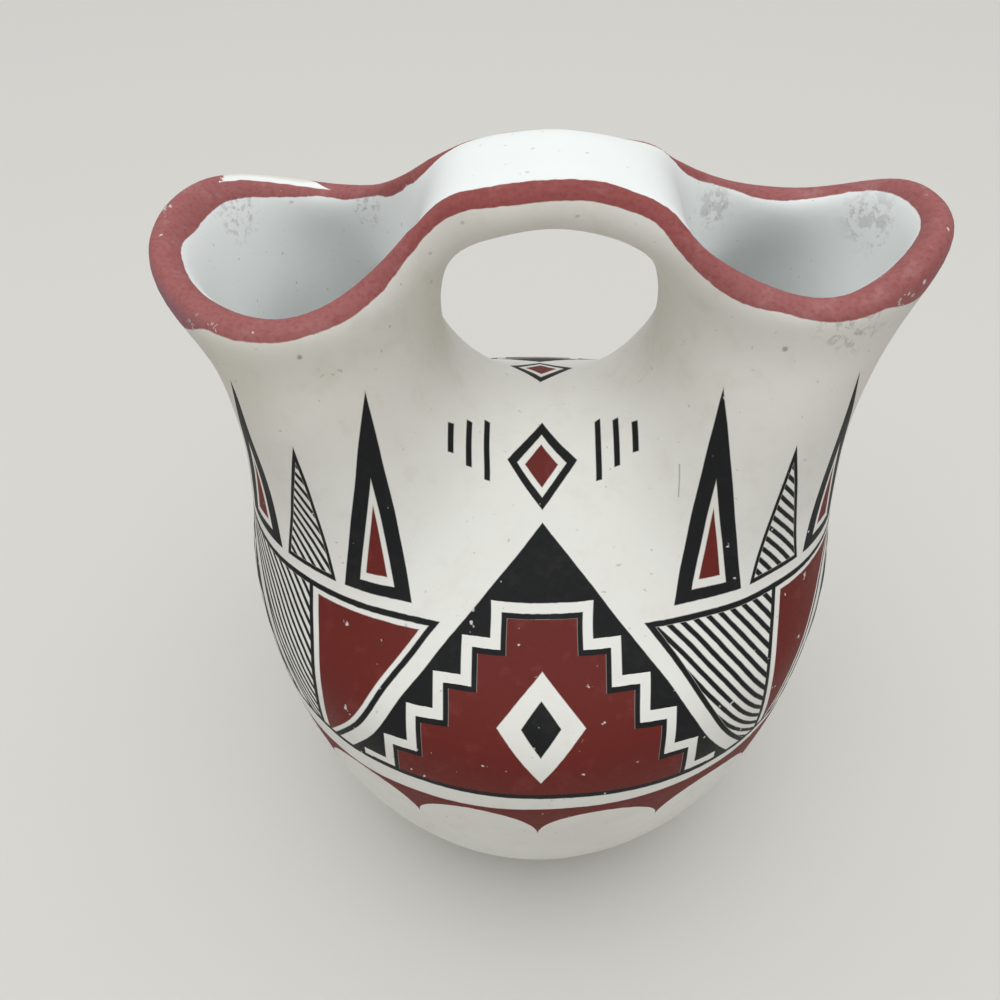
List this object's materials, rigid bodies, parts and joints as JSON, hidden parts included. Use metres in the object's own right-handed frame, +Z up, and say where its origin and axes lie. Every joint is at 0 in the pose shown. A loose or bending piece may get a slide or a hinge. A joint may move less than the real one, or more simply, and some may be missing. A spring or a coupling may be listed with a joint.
{
  "type": "wedding vase",
  "caption": "Small clay vessel with a globular belly, two flared spouts and an arched strap handle that bridges them over an open window.",
  "frame": {"origin": "centre of the flat foot, on the table plane, midway between the tips of the two spouts", "axes": "+X from the left spout to the right one, +Y from front to back, +Z up"},
  "size_m": [0.1078, 0.0954, 0.1331],
  "materials": {
    "painted_clay": "matte"
  },
  "bodies": {
    "root": {"vase": "painted_clay"}
  },
  "joints": []
}
